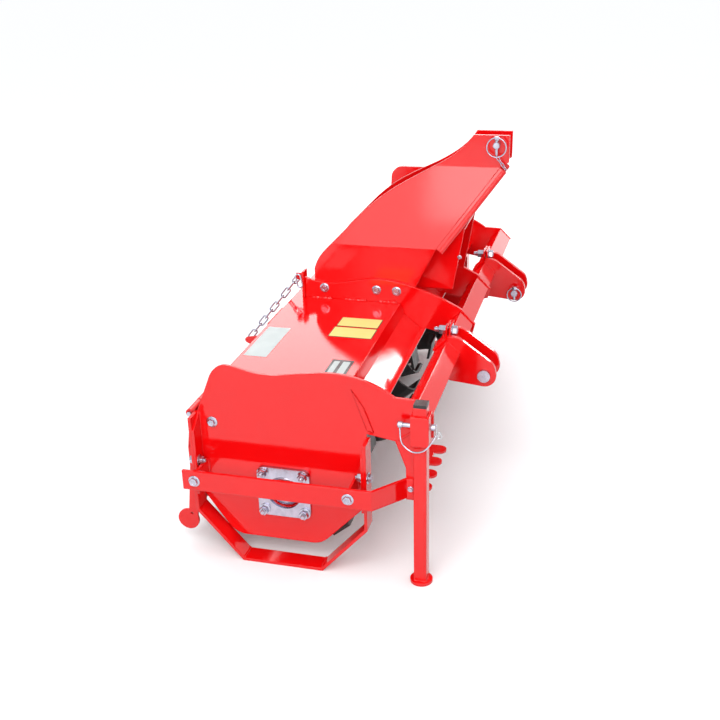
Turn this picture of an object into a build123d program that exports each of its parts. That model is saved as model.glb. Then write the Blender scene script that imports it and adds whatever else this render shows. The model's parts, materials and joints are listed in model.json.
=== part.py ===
# Rotary tiller for a three-point hitch, in millimetres.
# +X is the machine's right, +Y points forward to the tractor, +Z is up and the floor is at Z 0.
# Side views are drawn around the rotor axis: (ahead of the axis, above the axis).

import os
from math import sqrt

from build123d import *

# Whole machine
PLATE_SPAN = 1460.0
PLATE_T = 8.0
AXLE_H = 200.0
FRONT_REACH = 483.0
ROUND_SIDES = 16

# Side plates
PLATE_FRONT = 220.0
PLATE_REAR = 224.0
PLATE_BOTTOM = 146.0
PLATE_LOW_BACK = 145.0
PLATE_LOW_AHEAD = 92.0
PLATE_LOW_ROUND = 60.0
PLATE_FRONT_LOW = 11.0
PLATE_DIP = 328.0
PLATE_DIP_BACK = 73.0
PLATE_HUMP = 342.0
PLATE_HUMP_AHEAD = 110.0
PLATE_PEAK = 338.0
PLATE_PEAK_BACK = 152.0
PLATE_SHOULDER = 30.0
FLANGE_W = 42.0
FLANGE_T = 6.0
FLANGE_TOP = 205.0
FLANGE_TAPER = 34.0

# Front tube, set on its edge
TUBE_SIDE = 50.0
TUBE_WALL = 5.0
TUBE_AHEAD = 348.0
TUBE_UP = 255.0
NOSE_MARGIN = 2.0
NOSE_BACK = 292.0
NOSE_UNDER = 178.0

# Hood
HOOD_T = 4.0
HOOD_TOP = 303.0
HOOD_REAR = 159.0
HOOD_STEP_AHEAD = 169.0
HOOD_STEP_DROP = 32.0
HOOD_STEP_RUN = 11.0
HOOD_FRONT = 230.0
HOOD_FRONT_UP = 230.0
HOOD_LIP = 14.0

# Tailboard and its hinge
HINGE_BACK = 252.0
HINGE_UP = 190.0
ROD_R = 6.0
KNUCKLE_R = 11.0
KNUCKLE_L = 60.0
KNUCKLE_GAP = 5.0
KNUCKLE_COUNT = 3
KNUCKLE_PITCH = 620.0
SHEET_SETBACK = 18.0
RUN_CLEARANCE = 0.05
BOARD_T = 4.0
BOARD_SIDE_GAP = 6.0
BOARD_BACK = 266.0
BOARD_KINK_HIGH = 90.0
BOARD_KINK_LOW = 33.0
BOARD_LIP_BACK = 286.0
BOARD_LIP_DOWN = 132.0
BOARD_FOOT_R = 30.0
BOARD_END_W = 26.0
BOARD_END_T = 6.0
BOARD_EYE_R = 4.0
BOARD_EYE_BACK = 275.0
BOARD_EYE_DOWN = 113.0

# Hitch frame
HITCH_X = -35.0
HANGER_SPAN = 320.0
HANGER_T = 10.0
HANGER_REAR = 122.0
HANGER_TOP = 366.0
HANGER_SADDLE = 353.0
HANGER_SADDLE_BACK = 27.0
HANGER_HUMP = 371.0
HANGER_HUMP_AHEAD = 84.0
HANGER_SLOPE_UP = 348.0
HANGER_MARGIN = 6.0
WING_T = 8.0
WING_REAR = 94.0
WING_FOOT_GAP = 7.0
WING_OVER_STUB = 70.0
WING_SLOPE_RISE = 214.0
WING_HEAD_RISE = 91.0
WING_BACK_DROP = 80.0
WING_HEEL_BACK = 78.0
WING_HEEL_DROP = 43.0
WING_WAIST_BACK = 40.0
WING_SWELL_AHEAD = 96.0
WING_SWELL_RISE = 129.0
WING_HIGH_REAR = 245.0
WING_NECK_AHEAD = 310.0
WING_NECK_RISE = 41.0
WING_TOP_REAR = 356.0
WING_FRONT = 457.0
WING_BROW = 16.0
WING_HIGH_FRONT = 433.0
WING_LOW_FRONT = 272.0
WING_FOOT_FRONT = 190.0
TOP_GAP = 60.0
TOP_PIN_R = 9.5
TOP_PIN_AHEAD = 423.0
TOP_PIN_DROP = 24.0
TOP_PIN_OVERHANG = 26.0

# Lower hitch ears and pins
HITCH_SPREAD = 683.0
EAR_GAP = 60.0
EAR_T = 12.0
EAR_ROUND = 33.0
EAR_LEAF_R = 40.0
EAR_LEAF_IN = 9.0
EAR_SHOULDER_R = 52.0
EAR_SHOULDER_AHEAD = 12.0
EAR_SHOULDER_DROP = 5.0
EAR_HEEL_R = 14.0
EAR_HEEL_UP = 187.0
CLAMP_T = 5.0
CLAMP_SPLIT = 2.0
CLAMP_FLANGE = 35.0
LOW_PIN_R = 11.0
LOW_PIN_UP = 197.0
LOW_PIN_OVERHANG = 28.0
LOW_PIN_HEAD_R = 17.5
LOW_PIN_HEAD_T = 9.0

# Gearbox, drive shaft and drive case
GEARBOX_W = 170.0
GEARBOX_BACK = 40.0
GEARBOX_FRONT = 150.0
GEARBOX_OVER_STUB = 70.0
GEARBOX_EDGE = 16.0
BOSS_R = 48.0
BOSS_L = 26.0
STUB_R = 17.5
STUB_L = 84.0
STUB_UP = 400.0
SPLINE_COUNT = 6
SPLINE_DEPTH = 2.8
SPLINE_W = 8.7
GUARD_HALF = 100.0
GUARD_T = 4.0
GUARD_OVER_STUB = 120.0
GUARD_UNDER_STUB = 65.0
GUARD_FRONT = 345.0
GUARD_RAKE = 33.0
DRIVE_AHEAD = 24.0
DRIVE_OVER_HANGER = 4.0
DRIVE_TUBE_R = 38.0
DRIVE_TUBE_GAP = 5.0
CASE_R = 82.0
CASE_RISE = 97.0
CASE_ROUND = 42.0
CASE_RIM = 8.0
CASE_RIM_T = 10.0
CASE_T = 62.0

# Rotor
HUB_HOLE_R = 46.0
HUB_R = 58.0
HUB_L = 20.0
AXLE_R = 20.0
AXLE_END_GAP = 2.0
ROTOR_R = 38.0
ROTOR_END_GAP = 8.0
ROTOR_FLANGE_R = 75.0
ROTOR_FLANGE_T = 10.0
FLANGE_COUNT = 6
FLANGE_PITCH = 235.0
TINE_COUNT = 6
TINE_R = 192.0
TINE_T = 8.0
TINE_W = 58.0
TINE_ROOT = 44.0
TINE_REACH = 100.0
TINE_SWEEP = 30.0
TINE_SWEEP_MID = 8.0
TINE_STAGGER_DEG = 20.0
TINE_BEND = 26.0
BEARING_SIDE = 140.0
BEARING_T = 10.0
BEARING_ROUND = 18.0

# Skids
SKID_T = 8.0
SKID_FLAT_BACK = 112.0
SKID_FLAT_AHEAD = 105.0
SKID_KNEE = 62.0

# Side guard bars
BAR_OUT = 80.0
BAR_T = 8.0
BAR_W = 53.0
BAR_UP = 54.0
BAR_BACK = 240.0
BAR_CORNER = 252.0
BAR_MEET = 322.0
BAR_TAB = 16.0
STAY_T = 6.0
STAY_W = 40.0
STAY_AHEAD = 193.0
STAY_BACK = 208.0
BOLT_ACROSS = 24.0
BOLT_HEAD = 10.0

# Front finger guard
FINGER_W = 38.0
FINGER_PITCH = 65.5
FINGER_COUNT = 4
COMB_T = 6.0
COMB_UP = 40.0
COMB_BACK = 318.0
COMB_ROOT = 348.0
COMB_TIP = 377.0
DROP_LOW = 18.0
DROP_W = 28.0

# Parking leg
LEG_SIDE = 32.0
LEG_WALL = 3.0
LEG_AHEAD = 361.0
LEG_TOP = 292.0
LEG_CAP_T = 8.0
SLEEVE_SIDE = 45.0
SLEEVE_TOP = 270.0
SLEEVE_LOW = 193.0
LEG_FIT = 0.1
FOOT_R = 28.5
FOOT_T = 8.0
LEG_PIN_R = 6.0
LEG_PIN_UP = 238.0
LEG_PIN_BACK = 32.0
LEG_PIN_FRONT = 12.0

# Tailboard chain
BRACKET_W = 34.0
BRACKET_T = 6.0
BRACKET_TOP = 385.0
CHAIN_TOP = 368.0
CHAIN_STANDOFF = 12.0
LINK_COUNT = 9
LINK_W = 20.0
LINK_WIRE = 5.0
LINK_CORNER = 6.0
LINK_EYE_CORNER = 3.5
LINK_PLAY = 2.0
HOOK_R = 2.5
HOOK_OUT = 20.0
LUG_OUT = 48.0
LUG_UP = 152.0
LUG_T = 6.0
LUG_END_R = 9.0
LUG_ROOT = 55.0
LUG_GAP = 2.0

REAR_REACH = BOARD_BACK + LUG_OUT + LUG_END_R
AXLE_Y = (REAR_REACH - FRONT_REACH) / 2
HALF = PLATE_SPAN / 2
INSIDE = HALF - PLATE_T
FLOOR = -AXLE_H
TUBE_HALF = TUBE_SIDE / sqrt(2)
LOW_PIN_AHEAD = FRONT_REACH - EAR_ROUND
WING_LOW_BEND = STUB_UP + WING_OVER_STUB
WING_HIGH_BEND = WING_LOW_BEND + WING_SLOPE_RISE
WING_TOP = WING_HIGH_BEND + WING_HEAD_RISE
TOP_PIN_UP = WING_TOP - TOP_PIN_DROP
GUARD_TOP = STUB_UP + GUARD_OVER_STUB
GUARD_FOOT = STUB_UP - GUARD_UNDER_STUB
DRIVE_UP = HANGER_TOP + DRIVE_OVER_HANGER + DRIVE_TUBE_R
HANDS = (("right", 1), ("left", -1))

os.makedirs("parts", exist_ok=True)


def side(x):
    """Side-view plane at x, drawn around the rotor axis, its normal along +X."""
    return Plane(origin=(x, AXLE_Y, AXLE_H), x_dir=(0, 1, 0), z_dir=(1, 0, 0))


def front(y):
    """Front-view plane y ahead of the rotor axis, its normal along -Y."""
    return Plane(origin=(0, AXLE_Y + y, AXLE_H), x_dir=(1, 0, 0), z_dir=(0, -1, 0))


def level(z):
    """Plan-view plane z above the rotor axis."""
    return Plane(origin=(0, AXLE_Y, AXLE_H + z))


def strip(path, thickness):
    """Outline of a bent flat sheet: the path, and the path moved to its right by the thickness."""
    points = [Vector(*p) for p in path]
    runs = [(b - a).normalized() for a, b in zip(points, points[1:])]
    inner = []
    for i, point in enumerate(points):
        before = runs[max(i - 1, 0)]
        after = runs[min(i, len(runs) - 1)]
        right = Vector(before.Y + after.Y, -before.X - after.X)
        inner.append(point + right * (2 * thickness / right.dot(right)))
    return points + inner[::-1]


def toward(start, end, distance):
    """The point on the way from start to end, the distance from start."""
    a = Vector(*start)
    return a + (Vector(*end) - a).normalized() * distance


# Side plates with outward flanges along their front and rear edges
nose_low = (TUBE_AHEAD + TUBE_HALF / 2, TUBE_UP - TUBE_HALF / 2 - NOSE_MARGIN)
for hand, s in HANDS:
    with BuildPart() as plate:
        with BuildSketch(side(s * HALF)):
            with BuildLine():
                Polyline(
                    (-PLATE_PEAK_BACK - PLATE_SHOULDER, PLATE_PEAK - PLATE_SHOULDER),
                    (-PLATE_REAR, FLANGE_TOP),
                    (-PLATE_REAR, -PLATE_SHOULDER),
                    (-PLATE_LOW_BACK, -PLATE_BOTTOM),
                    (PLATE_LOW_AHEAD, -PLATE_BOTTOM),
                    (PLATE_FRONT, -PLATE_FRONT_LOW),
                    (PLATE_FRONT, NOSE_UNDER + 2 * FLANGE_T),
                    (NOSE_BACK, NOSE_UNDER),
                    nose_low,
                    (TUBE_AHEAD + TUBE_HALF + NOSE_MARGIN, TUBE_UP),
                    (TUBE_AHEAD, TUBE_UP + TUBE_HALF + NOSE_MARGIN),
                    (NOSE_BACK, TUBE_UP + TUBE_HALF + 2 * NOSE_MARGIN),
                )
                Spline(
                    (NOSE_BACK, TUBE_UP + TUBE_HALF + 2 * NOSE_MARGIN),
                    (PLATE_HUMP_AHEAD, PLATE_HUMP),
                    (-PLATE_DIP_BACK, PLATE_DIP),
                    (-PLATE_PEAK_BACK, PLATE_PEAK),
                    (-PLATE_PEAK_BACK - PLATE_SHOULDER, PLATE_PEAK - PLATE_SHOULDER),
                )
            make_face()
            RegularPolygon(HUB_HOLE_R, ROUND_SIDES, mode=Mode.SUBTRACT)
        extrude(amount=-s * PLATE_T)
        fillet(plate.edges().filter_by(Axis.X).sort_by(Axis.Z)[:2], PLATE_LOW_ROUND)
        for face_ahead, top in ((PLATE_FRONT, NOSE_UNDER), (FLANGE_T - PLATE_REAR, FLANGE_TOP)):
            with BuildSketch(front(face_ahead)):
                with BuildLine():
                    Polyline(
                        (s * HALF, top),
                        (s * (HALF + FLANGE_W), top - FLANGE_TAPER),
                        (s * (HALF + FLANGE_W), -PLATE_FRONT_LOW),
                        (s * HALF, -PLATE_FRONT_LOW),
                        close=True,
                    )
                make_face()
            extrude(amount=FLANGE_T)
    plate.part.label = f"side_plate_{hand}"
    export_step(plate.part, f"parts/side_plate_{hand}.step")

# Front tube between the noses of the side plates
with BuildPart() as front_tube:
    with BuildSketch(side(-INSIDE)):
        with Locations((TUBE_AHEAD, TUBE_UP)):
            Rectangle(TUBE_SIDE, TUBE_SIDE, rotation=45)
            Rectangle(TUBE_SIDE - 2 * TUBE_WALL, TUBE_SIDE - 2 * TUBE_WALL, rotation=45, mode=Mode.SUBTRACT)
    extrude(amount=2 * INSIDE)
front_tube.part.label = "front_tube"
export_step(front_tube.part, "parts/front_tube.step")

# Hood with the fixed hinge knuckles along its rear edge
hinge = (-HINGE_BACK, HINGE_UP)
hood_corner = (-HOOD_REAR, HOOD_TOP)
hood_step = (HOOD_STEP_AHEAD + HOOD_STEP_RUN, HOOD_TOP - HOOD_STEP_DROP)
hood_front = (HOOD_FRONT, HOOD_FRONT_UP)
hood_lip = (HOOD_FRONT + HOOD_LIP, HOOD_FRONT_UP)
knuckle_middles = [KNUCKLE_PITCH * (i - (KNUCKLE_COUNT - 1) / 2) for i in range(KNUCKLE_COUNT)]
with BuildPart() as hood:
    with BuildSketch(side(-INSIDE)):
        with BuildLine():
            hood_path = [
                toward(hinge, hood_corner, SHEET_SETBACK),
                hood_corner,
                (HOOD_STEP_AHEAD, HOOD_TOP),
                hood_step,
                hood_front,
                hood_lip,
            ]
            Polyline(*strip(hood_path, HOOD_T), close=True)
        make_face()
    extrude(amount=2 * INSIDE)
    for middle in knuckle_middles:
        with BuildSketch(side(middle - KNUCKLE_L / 2)):
            with BuildLine():
                Polyline(*strip([hinge, toward(hinge, hood_corner, SHEET_SETBACK)], HOOD_T), close=True)
            make_face()
            with Locations(hinge):
                RegularPolygon(KNUCKLE_R, ROUND_SIDES)
                Circle(ROD_R, mode=Mode.SUBTRACT)
        extrude(amount=KNUCKLE_L)
hood.part.label = "hood"
export_step(hood.part, "parts/hood.step")

# Hinge rod through all knuckles
with BuildPart() as hinge_rod:
    with BuildSketch(side(-INSIDE)):
        with Locations(hinge):
            Circle(ROD_R)
    extrude(amount=2 * INSIDE)
hinge_rod.part.label = "hinge_rod"
export_step(hinge_rod.part, "parts/hinge_rod.step")

# Tailboard: bent sheet, end plates with a rounded foot, and its own knuckles beside the fixed ones
board_half = INSIDE - BOARD_SIDE_GAP
board_kink = (-BOARD_BACK, BOARD_KINK_HIGH)
board_low_kink = (-BOARD_BACK, BOARD_KINK_LOW)
board_foot = (-BOARD_LIP_BACK, -BOARD_LIP_DOWN)
chain_x = HITCH_X + HANGER_SPAN / 2 - HANGER_T / 2
chain_end = (-BOARD_BACK - LUG_OUT, LUG_UP)
with BuildPart() as tailboard:
    with BuildSketch(side(-board_half)):
        with BuildLine():
            board_path = [
                board_foot,
                board_low_kink,
                board_kink,
                toward(hinge, board_kink, SHEET_SETBACK),
            ]
            Polyline(*strip(board_path, BOARD_T), close=True)
        make_face()
    extrude(amount=2 * board_half)
    for end in (-board_half, board_half - BOARD_END_T):
        with BuildSketch(side(end)):
            with BuildLine():
                Polyline(*strip(board_path[:3], BOARD_END_W), close=True)
            make_face()
            with Locations(board_foot):
                Circle(BOARD_FOOT_R)
            with Locations((-BOARD_EYE_BACK, -BOARD_EYE_DOWN)):
                Circle(BOARD_EYE_R, mode=Mode.SUBTRACT)
        extrude(amount=BOARD_END_T)
    for middle in knuckle_middles:
        with BuildSketch(side(middle + KNUCKLE_L / 2 + KNUCKLE_GAP)):
            with BuildLine():
                Polyline(*strip([board_path[-1], hinge], BOARD_T), close=True)
            make_face()
            with Locations(hinge):
                RegularPolygon(KNUCKLE_R, ROUND_SIDES)
                Circle(ROD_R + RUN_CLEARANCE, mode=Mode.SUBTRACT)
        extrude(amount=KNUCKLE_L)
    lug_root = [toward(hinge, board_kink, SHEET_SETBACK + LUG_ROOT), board_path[-1]]
    with BuildSketch(side(chain_x + LINK_W / 2 + LUG_GAP)):
        with BuildLine():
            Polyline(*strip(lug_root, BOARD_T), close=True)
        make_face()
        with Locations(chain_end):
            Circle(LUG_END_R)
        make_hull()
    extrude(amount=LUG_T)
tailboard.part.label = "tailboard"
export_step(tailboard.part, "parts/tailboard.step")

# Hanger plates from the hood to the front tube
for hand, s in HANDS:
    with BuildPart() as hanger:
        with BuildSketch(side(HITCH_X + s * HANGER_SPAN / 2)):
            with BuildLine():
                Polyline(
                    (-HANGER_REAR, HANGER_TOP),
                    (-HANGER_REAR, HOOD_TOP),
                    (HOOD_STEP_AHEAD, HOOD_TOP),
                    hood_step,
                    hood_front,
                    hood_lip,
                    (NOSE_BACK, TUBE_UP - TUBE_HALF),
                    (TUBE_AHEAD, TUBE_UP - TUBE_HALF - HANGER_MARGIN),
                    (TUBE_AHEAD + TUBE_HALF - NOSE_MARGIN, TUBE_UP - TUBE_HALF + NOSE_MARGIN),
                    (TUBE_AHEAD + TUBE_HALF + HANGER_MARGIN, TUBE_UP - NOSE_MARGIN),
                    (TUBE_AHEAD, TUBE_UP + TUBE_HALF + HANGER_MARGIN),
                )
                Spline(
                    (TUBE_AHEAD, TUBE_UP + TUBE_HALF + HANGER_MARGIN),
                    (HOOD_FRONT, HANGER_SLOPE_UP),
                    (HANGER_HUMP_AHEAD, HANGER_HUMP),
                    (-HANGER_SADDLE_BACK, HANGER_SADDLE),
                    (-HANGER_REAR, HANGER_TOP),
                )
            make_face()
            with Locations((TUBE_AHEAD, TUBE_UP)):
                Rectangle(TUBE_SIDE, TUBE_SIDE, rotation=45, mode=Mode.SUBTRACT)
        extrude(amount=-s * HANGER_T)
    hanger.part.label = f"hanger_{hand}"
    export_step(hanger.part, f"parts/hanger_{hand}.step")

# Mast wings, bent inward to the top hitch
wing_out = HANGER_SPAN / 2 - HANGER_T
wing_top_out = TOP_GAP / 2 + WING_T
wing_foot = HOOD_TOP + WING_FOOT_GAP
for hand, s in HANDS:
    wing_path = [
        (HITCH_X + s * wing_out, wing_foot),
        (HITCH_X + s * wing_out, WING_LOW_BEND),
        (HITCH_X + s * wing_top_out, WING_HIGH_BEND),
        (HITCH_X + s * wing_top_out, WING_TOP),
    ]
    with BuildPart() as wing:
        with BuildSketch(front(-WING_REAR)):
            with BuildLine():
                Polyline(*strip(wing_path, -s * WING_T), close=True)
            make_face()
        extrude(amount=-WING_REAR - WING_FRONT)
        with BuildSketch(side(HITCH_X)):
            with BuildLine():
                Polyline(
                    (WING_TOP_REAR, WING_TOP),
                    (WING_FRONT, WING_TOP),
                    (WING_FRONT, WING_HIGH_BEND + WING_BROW),
                    (WING_HIGH_FRONT, WING_HIGH_BEND),
                    (WING_LOW_FRONT, WING_LOW_BEND),
                    (WING_FOOT_FRONT, wing_foot),
                    (-WING_REAR, wing_foot),
                    (-WING_REAR, WING_LOW_BEND - WING_BACK_DROP),
                )
                Spline(
                    (-WING_REAR, WING_LOW_BEND - WING_BACK_DROP),
                    (-WING_HEEL_BACK, WING_LOW_BEND - WING_HEEL_DROP),
                    (-WING_WAIST_BACK, WING_LOW_BEND),
                    (WING_SWELL_AHEAD, WING_LOW_BEND + WING_SWELL_RISE),
                    (WING_HIGH_REAR, WING_HIGH_BEND),
                    (WING_NECK_AHEAD, WING_HIGH_BEND + WING_NECK_RISE),
                    (WING_TOP_REAR, WING_TOP),
                )
            make_face()
            with Locations((TOP_PIN_AHEAD, TOP_PIN_UP)):
                Circle(TOP_PIN_R, mode=Mode.SUBTRACT)
        extrude(amount=s * HANGER_SPAN / 2, mode=Mode.INTERSECT)
        if hand == "left":
            with BuildSketch(side(HITCH_X)):
                with Locations((DRIVE_AHEAD, DRIVE_UP)):
                    Circle(DRIVE_TUBE_R + DRIVE_TUBE_GAP)
            extrude(amount=s * HANGER_SPAN / 2, mode=Mode.SUBTRACT)
    wing.part.label = f"mast_wing_{hand}"
    export_step(wing.part, f"parts/mast_wing_{hand}.step")

# Top link pin
with BuildPart() as top_pin:
    with BuildSketch(side(HITCH_X)):
        with Locations((TOP_PIN_AHEAD, TOP_PIN_UP)):
            Circle(TOP_PIN_R)
    extrude(amount=wing_top_out + TOP_PIN_OVERHANG, both=True)
top_pin.part.label = "top_link_pin"
export_step(top_pin.part, "parts/top_link_pin.step")

# Lower hitch on each hand: ears joined by a bent clamp plate ahead of the tube, its mate behind, and a pin
clamp_half = TUBE_HALF - CLAMP_SPLIT
clamp_reach = clamp_half + CLAMP_FLANGE
clamp_front = [
    (TUBE_AHEAD + CLAMP_SPLIT, TUBE_UP + clamp_reach),
    (TUBE_AHEAD + CLAMP_SPLIT, TUBE_UP + clamp_half),
    (TUBE_AHEAD + TUBE_HALF, TUBE_UP),
    (TUBE_AHEAD + CLAMP_SPLIT, TUBE_UP - clamp_half),
    (TUBE_AHEAD + CLAMP_SPLIT, TUBE_UP - clamp_reach),
]
clamp_back = [(2 * TUBE_AHEAD - ahead, up) for ahead, up in clamp_front]
for hand, s in HANDS:
    ear_middle = HITCH_X + s * HITCH_SPREAD / 2
    with BuildPart() as ears:
        for start in (ear_middle - EAR_GAP / 2 - EAR_T, ear_middle + EAR_GAP / 2):
            with BuildSketch(side(start)):
                with Locations((TUBE_AHEAD + EAR_SHOULDER_AHEAD, TUBE_UP - EAR_SHOULDER_DROP)):
                    Circle(EAR_SHOULDER_R)
                with Locations((TUBE_AHEAD + EAR_HEEL_R, EAR_HEEL_UP)):
                    Circle(EAR_HEEL_R)
                with Locations((LOW_PIN_AHEAD, LOW_PIN_UP)):
                    Circle(EAR_ROUND)
                with Locations((LOW_PIN_AHEAD - EAR_LEAF_IN, LOW_PIN_UP + EAR_LEAF_IN)):
                    Circle(EAR_LEAF_R)
                make_hull()
                with Locations((TUBE_AHEAD - EAR_SHOULDER_R / 2, TUBE_UP)):
                    Rectangle(EAR_SHOULDER_R, 3 * EAR_SHOULDER_R, mode=Mode.SUBTRACT)
                with Locations((TUBE_AHEAD, TUBE_UP)):
                    Rectangle(TUBE_SIDE, TUBE_SIDE, rotation=45, mode=Mode.SUBTRACT)
                with Locations((LOW_PIN_AHEAD, LOW_PIN_UP)):
                    Circle(LOW_PIN_R, mode=Mode.SUBTRACT)
            extrude(amount=EAR_T)
        with BuildSketch(side(ear_middle - EAR_GAP / 2)):
            with BuildLine():
                Polyline(*strip(clamp_front, -CLAMP_T), close=True)
            make_face()
        extrude(amount=EAR_GAP)
    ears.part.label = f"hitch_ears_{hand}"
    export_step(ears.part, f"parts/hitch_ears_{hand}.step")
    with BuildPart() as clamp:
        with BuildSketch(side(ear_middle - EAR_GAP / 2)):
            with BuildLine():
                Polyline(*strip(clamp_back, CLAMP_T), close=True)
            make_face()
        extrude(amount=EAR_GAP)
    clamp.part.label = f"hitch_clamp_{hand}"
    export_step(clamp.part, f"parts/hitch_clamp_{hand}.step")
    outer_face = ear_middle + s * (EAR_GAP / 2 + EAR_T)
    with BuildPart() as low_pin:
        with BuildSketch(side(outer_face)):
            with Locations((LOW_PIN_AHEAD, LOW_PIN_UP)):
                Circle(LOW_PIN_R)
        extrude(amount=-s * (EAR_GAP + 2 * EAR_T + LOW_PIN_OVERHANG))
        with BuildSketch(side(outer_face)):
            with Locations((LOW_PIN_AHEAD, LOW_PIN_UP)):
                Circle(LOW_PIN_HEAD_R)
        extrude(amount=s * LOW_PIN_HEAD_T)
    low_pin.part.label = f"hitch_pin_{hand}"
    export_step(low_pin.part, f"parts/hitch_pin_{hand}.step")

# Gearbox: one plain casting with a round boss around the input shaft
with BuildPart() as gearbox:
    with BuildSketch(level(HOOD_TOP)):
        with Locations((HITCH_X, (GEARBOX_FRONT - GEARBOX_BACK) / 2)):
            Rectangle(GEARBOX_W, GEARBOX_FRONT + GEARBOX_BACK)
    extrude(amount=STUB_UP + GEARBOX_OVER_STUB - HOOD_TOP)
    chamfer(gearbox.faces().sort_by(Axis.Z)[-1].edges(), GEARBOX_EDGE)
    with BuildSketch(front(GEARBOX_FRONT)):
        with Locations((HITCH_X, STUB_UP)):
            RegularPolygon(BOSS_R, ROUND_SIDES)
    extrude(amount=-BOSS_L)
gearbox.part.label = "gearbox"
export_step(gearbox.part, "parts/gearbox.step")

# Splined input shaft
with BuildPart() as stub:
    with BuildSketch(front(GEARBOX_FRONT + BOSS_L)):
        with Locations((HITCH_X, STUB_UP)):
            Circle(STUB_R)
            with PolarLocations(STUB_R, SPLINE_COUNT):
                Rectangle(2 * SPLINE_DEPTH, SPLINE_W, mode=Mode.SUBTRACT)
    extrude(amount=-STUB_L)
stub.part.label = "input_shaft"
export_step(stub.part, "parts/input_shaft.step")

# Shield over the input shaft: a back plate on the gearbox, two cheeks and a roof
with BuildPart() as shield:
    with BuildSketch(front(GEARBOX_FRONT)):
        with Locations((HITCH_X, (GUARD_TOP + GUARD_FOOT) / 2)):
            Rectangle(2 * GUARD_HALF, GUARD_TOP - GUARD_FOOT)
        with Locations((HITCH_X, STUB_UP)):
            RegularPolygon(BOSS_R, ROUND_SIDES, mode=Mode.SUBTRACT)
    extrude(amount=-GUARD_T)
    with BuildSketch(side(HITCH_X - GUARD_HALF)):
        with BuildLine():
            Polyline(
                (GEARBOX_FRONT, GUARD_FOOT),
                (GUARD_FRONT - GUARD_RAKE, GUARD_FOOT),
                (GUARD_FRONT, GUARD_TOP),
                (GEARBOX_FRONT, GUARD_TOP),
                close=True,
            )
        make_face()
    cheek = extrude(amount=GUARD_T)
    with Locations((2 * GUARD_HALF - GUARD_T, 0, 0)):
        add(cheek)
    with BuildSketch(level(GUARD_TOP)):
        with Locations((HITCH_X, (GUARD_FRONT + GEARBOX_FRONT) / 2)):
            Rectangle(2 * GUARD_HALF, GUARD_FRONT - GEARBOX_FRONT)
    extrude(amount=-GUARD_T)
shield.part.label = "input_shield"
export_step(shield.part, "parts/input_shield.step")

# Cross-shaft tube from the gearbox to the drive case
gearbox_side = HITCH_X - GEARBOX_W / 2
with BuildPart() as drive_tube:
    with BuildSketch(side(gearbox_side)):
        with Locations((DRIVE_AHEAD, DRIVE_UP)):
            Circle(DRIVE_TUBE_R)
    extrude(amount=-HALF - gearbox_side)
drive_tube.part.label = "drive_tube"
export_step(drive_tube.part, "parts/drive_tube.step")

# Drive case on the left end, from the cross shaft down to the rotor axis
with BuildPart() as drive_case:
    for start, depth, inset in ((0, CASE_RIM_T, 0), (CASE_RIM_T, CASE_T - CASE_RIM_T, CASE_RIM)):
        with BuildSketch(side(-HALF - start)):
            Circle(CASE_R - inset)
            for corner in (CASE_ROUND - CASE_R, CASE_R - CASE_ROUND):
                with Locations((DRIVE_AHEAD + corner, DRIVE_UP + CASE_RISE - CASE_ROUND)):
                    Circle(CASE_ROUND - inset)
            make_hull()
        extrude(amount=-depth)
drive_case.part.label = "drive_case"
export_step(drive_case.part, "parts/drive_case.step")

# Bearing hubs inside the side plates, and the square bearing plate outside the right one
for hand, s in HANDS:
    with BuildPart() as hub:
        with BuildSketch(side(s * INSIDE)):
            RegularPolygon(HUB_R, ROUND_SIDES)
            Circle(AXLE_R + RUN_CLEARANCE, mode=Mode.SUBTRACT)
        extrude(amount=-s * HUB_L)
    hub.part.label = f"bearing_hub_{hand}"
    export_step(hub.part, f"parts/bearing_hub_{hand}.step")
with BuildPart() as bearing_plate:
    with BuildSketch(side(HALF)):
        RectangleRounded(BEARING_SIDE, BEARING_SIDE, BEARING_ROUND)
        Circle(HUB_HOLE_R, mode=Mode.SUBTRACT)
    extrude(amount=BEARING_T)
bearing_plate.part.label = "bearing_plate_right"
export_step(bearing_plate.part, "parts/bearing_plate_right.step")

# One tine: a swept L-shaped blade, its back on the flange's face
blade_out = sqrt(TINE_R**2 - (TINE_SWEEP + TINE_W / 2) ** 2)
bend_cut = TINE_BEND * (1 - sqrt(0.5))
tine_path = [
    (TINE_REACH, blade_out),
    (TINE_BEND, blade_out),
    (bend_cut, blade_out - bend_cut),
    (0, blade_out - TINE_BEND),
    (0, TINE_ROOT),
]
with BuildPart() as blade:
    with BuildSketch(Plane.XZ):
        with BuildLine():
            Polyline(*strip(tine_path, -TINE_T), close=True)
        make_face()
    extrude(amount=TINE_R, both=True)
    with BuildSketch(Plane.YZ):
        with BuildLine():
            Polyline(
                (TINE_W / 2, 0),
                (TINE_W / 2, ROTOR_FLANGE_R),
                (TINE_W / 2 - TINE_SWEEP_MID, (ROTOR_FLANGE_R + TINE_R) / 2),
                (TINE_W / 2 - TINE_SWEEP, TINE_R),
                (-TINE_W / 2 - TINE_SWEEP, TINE_R),
                (-TINE_W / 2 - TINE_SWEEP_MID, (ROTOR_FLANGE_R + TINE_R) / 2),
                (-TINE_W / 2, ROTOR_FLANGE_R),
                (-TINE_W / 2, 0),
                close=True,
            )
        make_face()
    extrude(amount=TINE_REACH, mode=Mode.INTERSECT)
left_blade = mirror(blade.part, about=Plane.YZ)

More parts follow.
